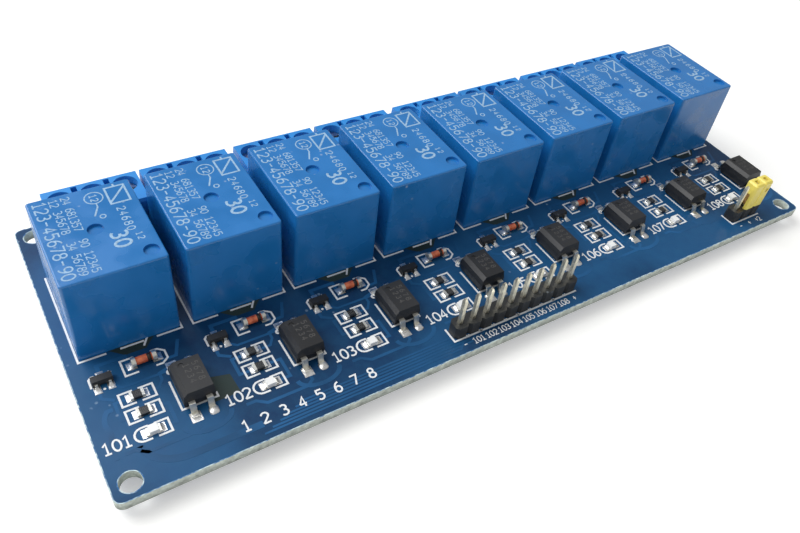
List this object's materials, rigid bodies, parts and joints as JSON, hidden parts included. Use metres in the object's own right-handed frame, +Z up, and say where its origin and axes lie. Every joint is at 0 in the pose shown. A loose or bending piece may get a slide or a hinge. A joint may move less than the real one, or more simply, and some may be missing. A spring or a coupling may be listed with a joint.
{
  "type": "relay module board",
  "caption": "Circuit board with a row of cube relays, screw terminals behind them, optocouplers and small parts in front, and two pin headers.",
  "frame": {"origin": "on the floor under the centre of the board, level with the tips of the pin tails", "axes": "+X along the board, +Y from the small parts to the screw terminals, +Z up"},
  "size_m": [0.138, 0.055, 0.0184],
  "materials": {
    "board": "solder mask over glass-fibre board, satin",
    "relay_case": "moulded, light gloss",
    "terminal_plastic": "moulded, light gloss",
    "tinned_pin": "tinned",
    "tinned_lead": "tinned",
    "screw": "zinc plated",
    "clamp": "nickel plated",
    "opto_body": "moulded, matt",
    "transistor_body": "moulded, matt",
    "diode_glass": "clear glass over a red-brown die",
    "resistor": "glazed",
    "led_lens": "milky resin",
    "header_plastic": "moulded, matt",
    "header_pin": "plated",
    "yellow_plastic": "moulded, light gloss",
    "clip": "plated",
    "solder": "solder, bright",
    "printing_ink": "white printing ink"
  },
  "bodies": {
    "root": {"pcb": "board", "relay_pins": "tinned_pin", "terminal_screws": "screw", "terminal_clamps": "clamp", "terminal_pins": "tinned_pin", "opto_leads": "tinned_lead", "transistor_leads": "tinned_lead", "diode_glass": "diode_glass", "diode_caps": "tinned_lead", "resistor_bodies": "resistor", "resistor_ends": "tinned_lead", "led_ends": "tinned_lead", "input_header_housing": "header_plastic", "input_header_pins": "header_pin", "jumper_header_housing": "header_plastic", "jumper_header_pins": "header_pin", "jumper_cap": "yellow_plastic", "jumper_clip": "clip", "relay_1": "relay_case", "terminal_block_1": "terminal_plastic", "optocoupler_1": "opto_body", "transistor_1": "transistor_body", "led_1": "led_lens", "relay_2": "relay_case", "terminal_block_2": "terminal_plastic", "optocoupler_2": "opto_body", "transistor_2": "transistor_body", "led_2": "led_lens", "relay_3": "relay_case", "terminal_block_3": "terminal_plastic", "optocoupler_3": "opto_body", "transistor_3": "transistor_body", "led_3": "led_lens", "relay_4": "relay_case", "terminal_block_4": "terminal_plastic", "optocoupler_4": "opto_body", "transistor_4": "transistor_body", "led_4": "led_lens", "relay_5": "relay_case", "terminal_block_5": "terminal_plastic", "optocoupler_5": "opto_body", "transistor_5": "transistor_body", "led_5": "led_lens", "relay_6": "relay_case", "terminal_block_6": "terminal_plastic", "optocoupler_6": "opto_body", "transistor_6": "transistor_body", "led_6": "led_lens", "relay_7": "relay_case", "terminal_block_7": "terminal_plastic", "optocoupler_7": "opto_body", "transistor_7": "transistor_body", "led_7": "led_lens", "relay_8": "relay_case", "terminal_block_8": "terminal_plastic", "optocoupler_8": "opto_body", "transistor_8": "transistor_body", "led_8": "led_lens"}
  },
  "joints": []
}
